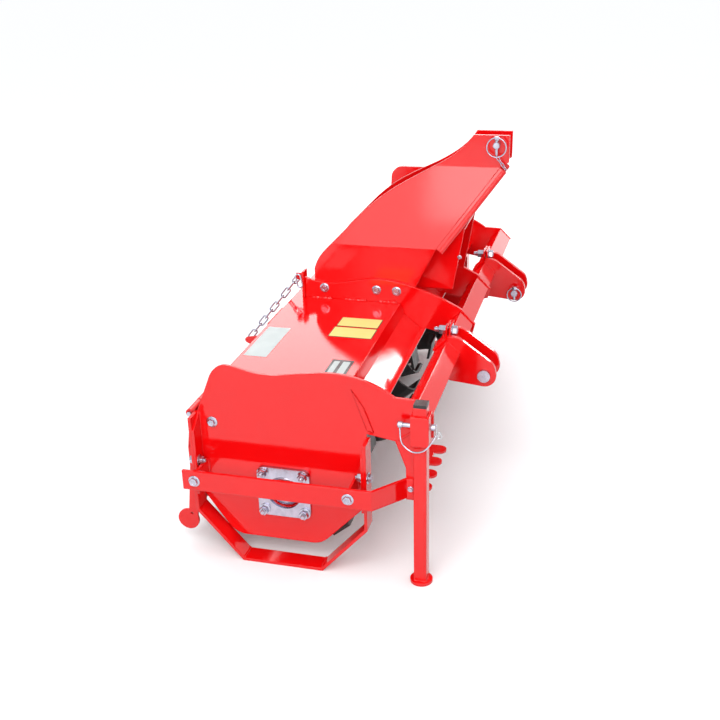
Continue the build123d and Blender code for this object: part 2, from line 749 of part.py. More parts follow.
# Rotor: tube, tine flanges with tines on both faces, and a short axle at each end
rotor_half = INSIDE - HUB_L - ROTOR_END_GAP
flange_middles = [FLANGE_PITCH * (i - (FLANGE_COUNT - 1) / 2) for i in range(FLANGE_COUNT)]
with BuildPart() as rotor:
    with BuildSketch(side(AXLE_END_GAP - HALF)):
        Circle(AXLE_R)
    extrude(amount=2 * (HALF - AXLE_END_GAP))
    with BuildSketch(side(-rotor_half)):
        RegularPolygon(ROTOR_R, ROUND_SIDES)
    extrude(amount=2 * rotor_half)
    for i, middle in enumerate(flange_middles):
        with BuildSketch(side(middle - ROTOR_FLANGE_T / 2)):
            RegularPolygon(ROTOR_FLANGE_R, ROUND_SIDES)
        extrude(amount=ROTOR_FLANGE_T)
        for k in range(TINE_COUNT):
            turn = 360 / TINE_COUNT * k + TINE_STAGGER_DEG * i
            hand = 1 - 2 * (k % 2)
            seat = middle + hand * ROTOR_FLANGE_T / 2
            with Locations(Location((seat, AXLE_Y, AXLE_H), (turn, 0, 0))):
                add(blade.part if hand > 0 else left_blade)
rotor.part.label = "rotor"
export_step(rotor.part, "parts/rotor.step")

# Skids: a flat bar bent into a boat shape, fixed outside both flanges of each side plate
skid_path = [
    (-PLATE_REAR - SKID_T, FLANGE_TOP),
    (-PLATE_REAR - SKID_T, -SKID_KNEE),
    (-SKID_FLAT_BACK, FLOOR),
    (SKID_FLAT_AHEAD, FLOOR),
    (PLATE_FRONT + SKID_T, -SKID_KNEE),
    (PLATE_FRONT + SKID_T, NOSE_UNDER),
]
for hand, s in HANDS:
    with BuildPart() as skid:
        with BuildSketch(side(s * INSIDE)):
            with BuildLine():
                Polyline(*strip(skid_path, -SKID_T), close=True)
            make_face()
        extrude(amount=s * (PLATE_T + FLANGE_W))
    skid.part.label = f"skid_{hand}"
    export_step(skid.part, f"parts/skid_{hand}.step")

# Side guard bars on two stays each, with the bolts through them; the right one runs in to the drop plate
bar_run = [(-BAR_BACK, BAR_OUT), (BAR_CORNER, BAR_OUT)]
bar_paths = {"right": bar_run + [(BAR_MEET, 0), (BAR_MEET + BAR_TAB, 0)], "left": bar_run}
for hand, s in HANDS:
    bar_in = s * (HALF + BAR_OUT)
    bar_out = s * (HALF + BAR_OUT + BAR_T)
    bar_outer = [(s * (HALF + BAR_T + out), ahead) for ahead, out in bar_paths[hand]]
    with BuildPart() as bar:
        with BuildSketch(level(BAR_UP - BAR_W / 2)):
            with BuildLine():
                Polyline(*strip(bar_outer, -s * BAR_T), close=True)
            make_face()
        extrude(amount=BAR_W)
    bar.part.label = f"guard_bar_{hand}"
    export_step(bar.part, f"parts/guard_bar_{hand}.step")
    with BuildPart() as stays:
        for ahead in (STAY_AHEAD, -STAY_BACK):
            with BuildSketch(level(BAR_UP - STAY_W / 2)):
                with Locations((s * (HALF + BAR_OUT / 2), ahead)):
                    Rectangle(BAR_OUT, STAY_T)
                with Locations((bar_in - s * STAY_T / 2, ahead)):
                    Rectangle(STAY_T, STAY_W)
            extrude(amount=STAY_W)
    stays.part.label = f"guard_stays_{hand}"
    export_step(stays.part, f"parts/guard_stays_{hand}.step")
    with BuildPart() as bolts:
        with BuildSketch(side(bar_out)):
            with Locations((STAY_AHEAD, BAR_UP), (-STAY_BACK, BAR_UP)):
                RegularPolygon(BOLT_ACROSS / 2, 6, major_radius=False)
        extrude(amount=s * BOLT_HEAD)
    bolts.part.label = f"guard_bolts_{hand}"
    export_step(bolts.part, f"parts/guard_bolts_{hand}.step")

# Front finger guard: a drop plate under the right nose carries a level comb
with BuildPart() as drop:
    with BuildSketch(side(HALF)):
        with BuildLine():
            Polyline(
                (NOSE_BACK, NOSE_UNDER),
                nose_low,
                (COMB_BACK + DROP_W, DROP_LOW),
                (COMB_BACK, DROP_LOW),
                (COMB_BACK, BAR_UP + BAR_W),
                close=True,
            )
        make_face()
    extrude(amount=-PLATE_T)
drop.part.label = "front_drop_right"
export_step(drop.part, "parts/front_drop_right.step")
comb_l = FINGER_PITCH * (FINGER_COUNT - 1) + FINGER_W + COMB_T
finger_r = FINGER_W / 2
with BuildPart() as comb:
    with BuildSketch(level(COMB_UP - COMB_T / 2)):
        with Locations((INSIDE - comb_l / 2, (COMB_BACK + COMB_ROOT) / 2)):
            Rectangle(comb_l, COMB_ROOT - COMB_BACK)
        for i in range(FINGER_COUNT):
            finger_x = INSIDE - COMB_T - finger_r - i * FINGER_PITCH
            with Locations((finger_x, (COMB_ROOT + COMB_TIP - finger_r) / 2)):
                Rectangle(FINGER_W, COMB_TIP - finger_r - COMB_ROOT)
            with Locations((finger_x, COMB_TIP - finger_r)):
                RegularPolygon(finger_r, ROUND_SIDES)
    extrude(amount=COMB_T)
comb.part.label = "front_comb_right"
export_step(comb.part, "parts/front_comb_right.step")

# Parking leg in its sleeve on the right nose
leg_x = HALF + SLEEVE_SIDE / 2
with BuildPart() as sleeve:
    with BuildSketch(level(SLEEVE_LOW)):
        with Locations((leg_x, LEG_AHEAD)):
            Rectangle(SLEEVE_SIDE, SLEEVE_SIDE)
            Rectangle(LEG_SIDE + 2 * LEG_FIT, LEG_SIDE + 2 * LEG_FIT, mode=Mode.SUBTRACT)
    extrude(amount=SLEEVE_TOP - SLEEVE_LOW)
sleeve.part.label = "leg_sleeve"
export_step(sleeve.part, "parts/leg_sleeve.step")
with BuildPart() as leg:
    with BuildSketch(level(FLOOR)):
        with Locations((leg_x, LEG_AHEAD)):
            Circle(FOOT_R)
    extrude(amount=FOOT_T)
    with BuildSketch(level(FLOOR + FOOT_T)):
        with Locations((leg_x, LEG_AHEAD)):
            Rectangle(LEG_SIDE, LEG_SIDE)
            Rectangle(LEG_SIDE - 2 * LEG_WALL, LEG_SIDE - 2 * LEG_WALL, mode=Mode.SUBTRACT)
    extrude(amount=LEG_TOP - FLOOR - FOOT_T)
leg.part.label = "parking_leg"
export_step(leg.part, "parts/parking_leg.step")
with BuildPart() as cap:
    with BuildSketch(level(LEG_TOP)):
        with Locations((leg_x, LEG_AHEAD)):
            Rectangle(LEG_SIDE, LEG_SIDE)
    extrude(amount=LEG_CAP_T)
cap.part.label = "leg_cap"
export_step(cap.part, "parts/leg_cap.step")
with BuildPart() as leg_pin:
    for start, length in (
        (LEG_AHEAD - SLEEVE_SIDE / 2, LEG_PIN_BACK),
        (LEG_AHEAD + SLEEVE_SIDE / 2, -LEG_PIN_FRONT),
    ):
        with BuildSketch(front(start)):
            with Locations((leg_x, LEG_PIN_UP)):
                RegularPolygon(LEG_PIN_R, ROUND_SIDES)
        extrude(amount=length)
leg_pin.part.label = "leg_pin"
export_step(leg_pin.part, "parts/leg_pin.step")

# Chain bracket behind the right hanger: a plate, a cheek and the pin that carries the first link
chain_start = (-HANGER_REAR - BRACKET_T - CHAIN_STANDOFF, CHAIN_TOP)
cheek_x = chain_x + LINK_WIRE / 2 + LINK_PLAY
with BuildPart() as bracket:
    with BuildSketch(front(-HANGER_REAR)):
        with Locations((chain_x, (BRACKET_TOP + HOOD_TOP) / 2)):
            Rectangle(BRACKET_W, BRACKET_TOP - HOOD_TOP)
    extrude(amount=BRACKET_T)
    with BuildSketch(side(cheek_x)):
        with Locations((-HANGER_REAR - BRACKET_T - HOOK_OUT / 2, CHAIN_TOP)):
            Rectangle(HOOK_OUT, HOOK_OUT)
    extrude(amount=LINK_WIRE)
    with BuildSketch(side(cheek_x)):
        with Locations(chain_start):
            Circle(HOOK_R)
    extrude(amount=-2 * (LINK_WIRE + LINK_PLAY))
bracket.part.label = "chain_bracket"
export_step(bracket.part, "parts/chain_bracket.step")

# Tailboard chain: straight from the bracket to the lug, every second link turned on edge
chain_run = Vector(*chain_end) - Vector(*chain_start)
link_pitch = chain_run.length / LINK_COUNT
link_l = link_pitch + 2 * LINK_WIRE + LINK_PLAY
link_seat = HOOK_R + RUN_CLEARANCE - LINK_PLAY / 2
with BuildPart() as chain:
    for i in range(LINK_COUNT):
        middle = toward(chain_start, chain_end, link_pitch * (i + 0.5) - link_seat)
        along = (0, chain_run.X, chain_run.Y)
        across = (0, -chain_run.Y, chain_run.X) if i % 2 else (1, 0, 0)
        place = Plane(origin=(chain_x, AXLE_Y + middle.X, AXLE_H + middle.Y), x_dir=along, z_dir=across)
        with BuildSketch(place):
            outline = Rectangle(link_l, LINK_W)
            chamfer(outline.vertices(), LINK_CORNER)
            with BuildSketch(mode=Mode.SUBTRACT):
                eye = Rectangle(link_l - 2 * LINK_WIRE, LINK_W - 2 * LINK_WIRE)
                chamfer(eye.vertices(), LINK_EYE_CORNER)
        extrude(amount=LINK_WIRE / 2, both=True)
chain.part.label = "tail_chain"
export_step(chain.part, "parts/tail_chain.step")
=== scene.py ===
"""Looks of the rotary tiller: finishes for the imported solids, and the small pieces around them."""

import json
import math

import bmesh
import bpy
from mathutils import Matrix, Quaternion, Vector


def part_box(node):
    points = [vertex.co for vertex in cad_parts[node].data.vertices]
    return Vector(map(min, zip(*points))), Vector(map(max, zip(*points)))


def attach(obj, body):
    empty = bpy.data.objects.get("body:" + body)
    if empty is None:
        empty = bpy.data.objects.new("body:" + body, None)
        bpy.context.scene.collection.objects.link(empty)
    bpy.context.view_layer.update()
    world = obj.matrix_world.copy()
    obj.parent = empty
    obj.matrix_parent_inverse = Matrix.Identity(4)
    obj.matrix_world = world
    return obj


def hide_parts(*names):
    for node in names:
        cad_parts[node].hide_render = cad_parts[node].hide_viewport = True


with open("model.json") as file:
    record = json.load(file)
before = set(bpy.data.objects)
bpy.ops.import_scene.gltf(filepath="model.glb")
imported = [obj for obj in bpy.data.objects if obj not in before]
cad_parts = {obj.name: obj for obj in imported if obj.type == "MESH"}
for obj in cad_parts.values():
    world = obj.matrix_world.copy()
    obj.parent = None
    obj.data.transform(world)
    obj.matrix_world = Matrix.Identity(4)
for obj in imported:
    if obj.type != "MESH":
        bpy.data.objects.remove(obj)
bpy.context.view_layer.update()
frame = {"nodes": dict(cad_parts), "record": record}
nodes = frame["nodes"]

# Places are in millimetres: x from the middle plane, ahead of the rotor axis, above the rotor axis.
MM = 0.001
AXLE = sum(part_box("bearing_plate_right"), Vector()) / 2
PLATE_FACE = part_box("front_drop_right")[1].x / MM
HITCH_X = (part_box("gearbox")[0].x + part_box("gearbox")[1].x) / 2 / MM
X, Y, Z = Vector((1, 0, 0)), Vector((0, 1, 0)), Vector((0, 0, 1))
ENDS = (1, -1)  # the right end and the left one


def at(x, ahead, up):
    """A point in the row frame, in metres."""
    return Vector((x * MM, AXLE.y + ahead * MM, AXLE.z + up * MM))


# Finishes: scales per metre, depths and edge radii in metres
CLOUD_SCALE, WEAR_SCALE, PEEL_SCALE = 5.0, 40.0, 420.0
SPANGLE_SCALE, BRUSH_SCALE, GRAIN_SCALE = 60.0, 220.0, 700.0
NOISE_SPAN, SPANGLE_SPAN = (0.3, 0.7), (0.35, 0.65)
PEEL_DEPTH, GRAIN_DEPTH, GRAIN = 0.0004, 0.0003, 0.12
PAINT_EDGE, PLATED_EDGE, SHEET_EDGE, LABEL_EDGE = 0.0016, 0.0008, 0.0035, 0.0003
BEVEL_SAMPLES = 6
PAINT_GLOSS, METAL_GLOSS = (0.75, 1.35), (0.7, 1.4)  # how far a roughness spreads


def shader(name):
    """A new material, with its nodes, its links and its main shader."""
    mat = bpy.data.materials.new(name)
    mat.use_nodes = True
    tree = mat.node_tree
    return mat, tree.nodes, tree.links, tree.nodes["Principled BSDF"]


def noise(n, l, scale, detail):
    coords = n.new("ShaderNodeTexCoord")
    tex = n.new("ShaderNodeTexNoise")
    tex.inputs["Scale"].default_value = scale
    tex.inputs["Detail"].default_value = detail
    l.new(coords.outputs["Object"], tex.inputs["Vector"])
    return tex.outputs["Fac"]


def ramp(n, l, source, span, a, b):
    """Values over the span, brought to lie from a to b."""
    r = n.new("ShaderNodeMapRange")
    for name, value in (("From Min", span[0]), ("From Max", span[1]), ("To Min", a), ("To Max", b)):
        r.inputs[name].default_value = value
    l.new(source, r.inputs["Value"])
    return r.outputs["Result"]


def blend_colour(n, l, factor, a, b):
    m = n.new("ShaderNodeMix")
    m.data_type = "RGBA"
    for name, value in (("A", a), ("B", b)):
        socket = [s for s in m.inputs if s.name == name and s.type == "RGBA"][0]
        socket.default_value = (*value, 1)
    l.new(factor, m.inputs["Factor"])
    return [s for s in m.outputs if s.type == "RGBA"][0]


def bumped(n, l, height, strength, distance, radius):
    """A bump over edges that are rounded by the radius."""
    bevel = n.new("ShaderNodeBevel")
    bevel.samples = BEVEL_SAMPLES
    bevel.inputs["Radius"].default_value = radius
    bump = n.new("ShaderNodeBump")
    bump.inputs["Strength"].default_value = strength
    bump.inputs["Distance"].default_value = distance
    l.new(height, bump.inputs["Height"])
    l.new(bevel.outputs["Normal"], bump.inputs["Normal"])
    return bump.outputs["Normal"]


def paint(name, base, deep, rough, radius=PAINT_EDGE, peel=0.10):
    """A sprayed finish: two close tones, an uneven gloss and orange peel."""
    mat, n, l, p = shader(name)
    cloud = ramp(n, l, noise(n, l, CLOUD_SCALE, 3.0), NOISE_SPAN, 0, 1)
    gloss = ramp(n, l, noise(n, l, WEAR_SCALE, 4.0), NOISE_SPAN, *(rough * v for v in PAINT_GLOSS))
    l.new(blend_colour(n, l, cloud, base, deep), p.inputs["Base Color"])
    l.new(gloss, p.inputs["Roughness"])
    l.new(bumped(n, l, noise(n, l, PEEL_SCALE, 2.0), peel, PEEL_DEPTH, radius), p.inputs["Normal"])
    return mat


def plated(name, base, tint, rough):
    """Bare or plated metal: a spangle of two tones and a fine grain."""
    mat, n, l, p = shader(name)
    spangle = ramp(n, l, noise(n, l, SPANGLE_SCALE, 4.0), SPANGLE_SPAN, 0, 1)
    gloss = ramp(n, l, noise(n, l, BRUSH_SCALE, 5.0), NOISE_SPAN, *(rough * v for v in METAL_GLOSS))
    l.new(blend_colour(n, l, spangle, base, tint), p.inputs["Base Color"])
    p.inputs["Metallic"].default_value = 1.0
    l.new(gloss, p.inputs["Roughness"])
    grain = noise(n, l, GRAIN_SCALE, 3.0)
    l.new(bumped(n, l, grain, GRAIN, GRAIN_DEPTH, PLATED_EDGE), p.inputs["Normal"])
    return mat


def sticker(name, base, deep, rough):
    """A label's finish, with edges as thin as the label is."""
    return paint(name, base, deep, rough, radius=LABEL_EDGE)


FINISH = {
    "red_paint": paint("red_paint", (0.90, 0.004, 0.005), (0.84, 0.003, 0.004), 0.075, radius=SHEET_EDGE),
    "black_paint": paint("black_paint", (0.012, 0.012, 0.013), (0.022, 0.021, 0.021), 0.38, peel=0.25),
    "zinc_plate": plated("zinc_plate", (0.52, 0.51, 0.60), (0.40, 0.40, 0.48), 0.20),
    "bare_steel": plated("bare_steel", (0.58, 0.58, 0.59), (0.48, 0.48, 0.50), 0.30),
    "black_plastic": paint("black_plastic", (0.012, 0.012, 0.013), (0.018, 0.018, 0.02), 0.28, peel=0.15),
    "label_white": sticker("label_white", (0.57, 0.63, 0.62), (0.54, 0.61, 0.60), 0.55),
    "label_yellow": sticker("label_yellow", (0.87, 0.76, 0.26), (0.85, 0.73, 0.23), 0.55),
    "label_dark": sticker("label_dark", (0.02, 0.02, 0.022), (0.03, 0.03, 0.033), 0.30),
}

for row in frame["record"]["subparts"]:
    node_mesh = nodes[row["node"]].data
    node_mesh.materials.clear()
    node_mesh.materials.append(FINISH[row["material_slot"]])


# Mesh tools: each adds to a bmesh; points are in metres, sizes in millimetres
RIPPLE_STEP = 2.4  # radians of a weld bead's ripple from one ring to the next
BEAD_R, BEAD_RIPPLE = 3, 0.16
WASHER_T, WASHER_EDGE = 2.2, 0.6
HEX_TURN = 0.3
RIDGE = 0.75  # half a thread's pitch
SHARP_DEG = 35


def axes(axis):
    """Columns of a turned frame whose z is the axis."""
    z = axis.normalized()
    x = (Y if abs(z.y) < 0.9 else Z).cross(z).normalized()
    return Matrix((x, z.cross(x), z)).transposed()


def lathe(bm, where, axis, profile, sides=24, spin=0.0):
    """Turns a profile of (radius, height) about the axis."""
    turn = axes(axis)
    rings = []
    for radius, height in profile:
        angles = [spin + math.tau * k / sides for k in range(sides if radius else 1)]
        ring = [Vector((radius * math.cos(a), radius * math.sin(a), height)) for a in angles]
        rings.append([bm.verts.new(where + turn @ v * MM) for v in ring])
    for low, high in zip(rings, rings[1:]):
        for k in range(sides):
            m = (k + 1) % sides
            quad = [low[k % len(low)], low[m % len(low)], high[m % len(high)], high[k % len(high)]]
            corners = list(dict.fromkeys(quad))
            if len(corners) > 2:
                bm.faces.new(corners)


def wire(bm, points, radius, sides=10, closed=False, ripple=0.0):
    """A round bar along the points; ripple makes a weld bead of it."""
    rings = []
    normal = (points[1] - points[0]).orthogonal()
    last = len(points) - 1
    for i, p in enumerate(points):
        before = points[i - 1] if i or closed else p
        after = points[(i + 1) % len(points)] if i < last or closed else p
        along = (after - before).normalized()
        normal = (normal - along * normal.dot(along)).normalized()
        across = along.cross(normal)
        r = radius * MM * (1 + ripple * math.sin(RIPPLE_STEP * i))
        angles = [math.tau * k / sides for k in range(sides)]
        rings.append([bm.verts.new(p + (normal * math.cos(a) + across * math.sin(a)) * r) for a in angles])
    pairs = list(zip(rings, rings[1:])) + ([(rings[-1], rings[0])] if closed else [])
    for low, high in pairs:
        for k in range(sides):
            m = (k + 1) % sides
            bm.faces.new((low[k], low[m], high[m], high[k]))
    if not closed:
        bm.faces.new(rings[0][::-1])
        bm.faces.new(rings[-1])


def slab(bm, outline, depth):
    """A flat plate: the outline, and the outline moved by the depth vector."""
    low = [bm.verts.new(p) for p in outline]
    high = [bm.verts.new(p + depth) for p in outline]
    bm.faces.new(low[::-1])
    bm.faces.new(high)
    for k in range(len(low)):
        m = (k + 1) % len(low)
        bm.faces.new((low[k], low[m], high[m], high[k]))


def arc(centre, u, v, start, end, steps):
    """Points from angle start to end, in degrees, on the ellipse of half-axes u and v."""
    turns = [math.radians(start + (end - start) * k / steps) for k in range(steps + 1)]
    return [centre + u * math.cos(t) + v * math.sin(t) for t in turns]


def curve(points, steps=8):
    """A smooth line through the points."""
    ends = [2 * points[0] - points[1], *points, 2 * points[-1] - points[-2]]
    line = []
    for a, b, c, d in zip(ends, ends[1:], ends[2:], ends[3:]):
        bend, twist = 2 * a - 5 * b + 4 * c - d, 3 * b - a - 3 * c + d
        for k in range(steps):
            t = k / steps
            line.append((2 * b + (c - a) * t + bend * t**2 + twist * t**3) / 2)
    return line + [points[-1]]


def weld(bm, start, end, radius=BEAD_R, ripple=BEAD_RIPPLE):
    steps = max(3, round((end - start).length / (radius * MM)))
    wire(bm, [start.lerp(end, k / steps) for k in range(steps + 1)], radius, sides=8, ripple=ripple)


def bolt(bm, where, axis, across, head, thread=0, washer=0.78):
    """A hex head or nut on a washer, with the thread's end standing out of it."""
    rim = across * washer
    edge = [(rim, WASHER_T - WASHER_EDGE), (rim - 1, WASHER_T)]
    lathe(bm, where, axis, [(0, 0), (rim, 0), *edge, (0, WASHER_T)])
    seat = where + axis * WASHER_T * MM
    corner, dish = across / math.sqrt(3), head - 0.8
    top = [(corner, head * 0.8), (corner * 0.9, head), (corner * 0.5, head), (corner * 0.45, dish)]
    lathe(bm, seat, axis, [(0, 0), (corner, 0), *top, (0, dish)], 6, HEX_TURN)
    if thread:
        core, root, tip = across * 0.29, head - 1, head + thread
        ridges = [(core * (1 if k % 2 else 0.9), root + RIDGE * k) for k in range(int(thread / RIDGE))]
        lathe(bm, seat, axis, [(0, root), *ridges, (core * 0.7, tip), (0, tip)], 14)


def piece(name, bm, finish, body="frame"):
    """Makes an object of the bmesh, riding on its body."""
    bmesh.ops.recalc_face_normals(bm, faces=bm.faces)
    mesh = bpy.data.meshes.new(name)
    bm.to_mesh(mesh)
    bm.free()
    mesh.shade_smooth()
    mesh.set_sharp_from_angle(angle=math.radians(SHARP_DEG))
    mesh.materials.append(FINISH[finish])
    obj = bpy.data.objects.new(name, mesh)
    bpy.context.scene.collection.objects.link(obj)
    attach(obj, body)
    return obj


# Hitch: bolts, linch pins, a keeper chain
HANGER_OUT, WING_IN = 160, 142
HANGER_BOLTS = ((-62, 336), (97, 339), (157, 339))
EAR_SPREAD = 341.5
EAR_X = (HITCH_X + EAR_SPREAD, HITCH_X - EAR_SPREAD)
TUBE_AHEAD, TUBE_UP = 348, 255
CLAMP_BOLT_UP, CLAMP_FACE = 50, 7
TOP_PIN, TOP_PIN_R, TOP_RING = (423, 751), 9.5, 27
LOW_PIN, LOW_PIN_R, LOW_RING = (450, 197), 11, 23
LINCH_IN = 9  # from a hitch pin's end to its linch pin
LINCH_POINT = [(0, 0), (2.5, 0), (4, 4)]
LINCH_HEAD = [(0, 0), (6.5, 0), (7.5, 2), (7.5, 8), (6, 10), (0, 10)]
LINCH_WIRE, LINCH_OUT, LINCH_DROP = 1.9, 3, 6
KEEPER_LINKS, KEEPER_W, KEEPER_WIRE = 4, 4.2, 1.3
KEEPER_FROM, KEEPER_TO = (-6, 3, -33), (46, 26, -70)  # x from the pin's end, and from the hitch's middle


def build_hitch_bolts():
    bm = bmesh.new()
    for s in ENDS:
        for ahead, up in HANGER_BOLTS:
            bolt(bm, at(HITCH_X + s * HANGER_OUT, ahead, up), s * X, across=19, head=8, washer=0.74)
            bolt(bm, at(HITCH_X + s * WING_IN, ahead, up), -s * X, across=19, head=10, thread=6)
    piece("hanger_bolts", bm, "zinc_plate")
    bm = bmesh.new()
    for x in EAR_X:
        for up in (TUBE_UP + CLAMP_BOLT_UP, TUBE_UP - CLAMP_BOLT_UP):
            bolt(bm, at(x, TUBE_AHEAD + CLAMP_FACE, up), Y, across=24, head=12)
            bolt(bm, at(x, TUBE_AHEAD - CLAMP_FACE, up), -Y, across=24, head=20, thread=14)
    piece("clamp_bolts", bm, "zinc_plate")


def linch_pin(bm, x, ahead, up, ring):
    """A linch pin upright through a hitch pin, its spring ring over the hitch pin's end."""
    shank = ring * 1.75
    lathe(bm, at(x, ahead, up - ring * 1.1), Z, [*LINCH_POINT, (LINCH_POINT[-1][0], shank), (0, shank)], 12)
    lathe(bm, at(x, ahead, up + ring * 0.5), Z, LINCH_HEAD, 14)
    centre = at(x + LINCH_OUT, ahead, up - LINCH_DROP)
    wire(bm, arc(centre, Y * ring * MM, Z * ring * MM, 96, 444, 48), LINCH_WIRE)


def pin_end(bm, x, place, way, radius):
    """The chamfered end of a hitch pin."""
    lathe(bm, at(x, *place), way, [(0, -0.5), (radius, -0.5), (radius - 1.5, 2), (0, 2)], 20)


def build_pins():
    bm = bmesh.new()
    top_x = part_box("top_link_pin")[1].x / MM
    linch_pin(bm, top_x - LINCH_IN, *TOP_PIN, TOP_RING)
    pin_end(bm, top_x, TOP_PIN, X, TOP_PIN_R)
    for hand, s in (("right", -1), ("left", 1)):
        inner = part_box(f"hitch_pin_{hand}")[0 if s < 0 else 1].x / MM
        linch_pin(bm, inner - s * LINCH_IN, *LOW_PIN, LOW_RING)
        pin_end(bm, inner, LOW_PIN, s * X, LOW_PIN_R)
    piece("linch_pins", bm, "zinc_plate")
    bm = bmesh.new()
    ends = ((top_x, KEEPER_FROM), (HITCH_X, KEEPER_TO))
    start, end = (at(x + out, TOP_PIN[0] + ahead, TOP_PIN[1] + up) for x, (out, ahead, up) in ends)
    along = (end - start) / KEEPER_LINKS
    flat = along.orthogonal().normalized()
    for k in range(KEEPER_LINKS):
        side = flat if k % 2 else along.cross(flat).normalized()
        loop = arc(start + along * (k + 0.5), along * 0.66, side * KEEPER_W * MM, 0, 345, 15)
        wire(bm, loop, KEEPER_WIRE, 8, closed=True)
    piece("pin_keeper_chain", bm, "zinc_plate")


# Side plates, guards, skids
STAYS_AHEAD, BAR_UP = (193, -208), 54
CORNER_BOLT = (-185, 180)
FLANGE_BOLT_OUT = 26
FLANGE_REAR, FLANGE_FRONT = (-218, -232, 80), (214, 228, 82)  # inner face, outer face, height
DROP_BOLT, DROP_BOLT_OUT = (331, 54), 8
SHIELD_BOLT, SHIELD_BOLT_OUT = (331, 434), 100
BEARING_T, BEARING_BOLT = 10, 54
CAP_IN, CAP_WALL, CAP_BORE = 7.5, 1.5, 0.93
CAP_DOME = [(44.5, 0), (44.5, 3), (38, 9), (28, 13), (14, 15.5), (0, 16)]
RIB = ((184, 309), (222, 199), (240, 196), (216, 262))
RIB_T, RIB_EDGE, RIB_SUNK = 4, 1.5, 0.3


def build_side_bolts():
    bm = bmesh.new()
    bar_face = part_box("guard_bar_right")[1].x / MM
    for s in ENDS:
        for ahead in STAYS_AHEAD:
            bolt(bm, at(s * bar_face, ahead, BAR_UP), s * X, across=20, head=7.8, washer=0.76)
    guard = piece("guard_bolt_heads", bm, "zinc_plate")
    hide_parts("guard_bolts_right", "guard_bolts_left")
    bm = bmesh.new()
    for s in ENDS:
        bolt(bm, at(s * PLATE_FACE, *CORNER_BOLT), s * X, across=17, head=8, washer=0.88)
        x = s * (PLATE_FACE + FLANGE_BOLT_OUT)
        for (inner, outer, up), way in ((FLANGE_REAR, -Y), (FLANGE_FRONT, Y)):
            bolt(bm, at(x, inner, up), -way, across=19, head=10, thread=6)
            bolt(bm, at(x, outer, up), way, across=19, head=8)
    bolt(bm, at(PLATE_FACE + DROP_BOLT_OUT, *DROP_BOLT), X, across=10, head=4)
    bolt(bm, at(HITCH_X + SHIELD_BOLT_OUT, *SHIELD_BOLT), X, across=8, head=3)
    piece("plate_bolts", bm, "zinc_plate")
    bm = bmesh.new()
    for ahead in (BEARING_BOLT, -BEARING_BOLT):
        for up in (BEARING_BOLT, -BEARING_BOLT):
            seat = at(PLATE_FACE + BEARING_T, ahead, up)
            bolt(bm, seat, X, across=22, head=12, thread=8, washer=0.70)
    piece("bearing_bolts", bm, "zinc_plate")
    bm = bmesh.new()
    shell = [(r * CAP_BORE, h - CAP_WALL) for r, h in CAP_DOME[::-1]]
    lathe(bm, at(PLATE_FACE - CAP_IN, 0, 0), X, [*shell, *CAP_DOME], 40)
    piece("bearing_cap", bm, "zinc_plate")


def build_rib():
    bm = bmesh.new()
    for s in ENDS:
        outline = [at(s * (PLATE_FACE - RIB_SUNK), ahead, up) for ahead, up in RIB]
        slab(bm, outline[::s], s * X * RIB_T * MM)
    bmesh.ops.bevel(bm, geom=list(bm.edges), offset=RIB_EDGE * MM, segments=2, affect="EDGES")
    piece("plate_ribs", bm, "red_paint")


# Front edges of the sheets, and welds
WING_LOW, WING_HIGH = (150, 272, 470), (38, 433, 684)  # out from the hitch's middle, ahead, up
RIM_W, RIM_LAP, RIM_T, RIM_ROLL = 13, 2, 7, 8
SHEET_IN = 9  # from a side plate's outer face to the hood's end
HOOD_BEND, HOOD_BEND_R = (227.4, 227.6), 4
HOOD_SEAM, HOOD_SEAM_ENDS = 304, (-150, 160)
HANGER_WELDS, HANGER_BEAD, HANGER_RIPPLE = ((-100, -40), (0, 66), (104, 158)), 4.8, 0.3
SKID_WELDS = ((-224, -62), (220, -62), (-109, -191), (102, -191))
SKID_WELD_X = (PLATE_FACE - 6, PLATE_FACE + 40)
STAY_SIDE, STAY_UP = 4, (36, 72)
EAR_PLATES, EAR_WELD = (-43, -29, 29, 43), ((2, 33), (34, 2))
SLEEVE_AHEAD, SLEEVE_SIDE, SLEEVE_UP = 361, 23.5, (200, 262)
NOSE_WELD, DROP_WELD = ((300, 182), (362, 230)), ((320, 44), (346, 44))


def build_wing_rims():
    """The folded front edge of each wing: a strip on the wing's slope and a roll along it."""
    bm = bmesh.new()
    for s in ENDS:
        low, high = (at(HITCH_X + s * out, ahead, up) for out, ahead, up in (WING_LOW, WING_HIGH))
        along = (high - low).normalized()
        out = Vector((s * (WING_HIGH[2] - WING_LOW[2]), 0, WING_LOW[0] - WING_HIGH[0])).normalized()
        ahead = s * along.cross(out)
        lap, edge = -ahead * RIM_LAP * MM, ahead * RIM_W * MM
        outline = [low + lap, high + lap, high + edge, low + edge]
        slab(bm, outline[::s], -out * RIM_T * MM)
        shift = edge - out * RIM_ROLL * MM
        wire(bm, [low + shift, high + shift], RIM_ROLL, 20)
    piece("wing_rims", bm, "red_paint")


def build_hood_edge():
    """The rounded bend between the hood's front slope and its lip."""
    bm = bmesh.new()
    half = PLATE_FACE - SHEET_IN
    wire(bm, [at(-half, *HOOD_BEND), at(half, *HOOD_BEND)], HOOD_BEND_R, 20)
    piece("hood_edge", bm, "red_paint")


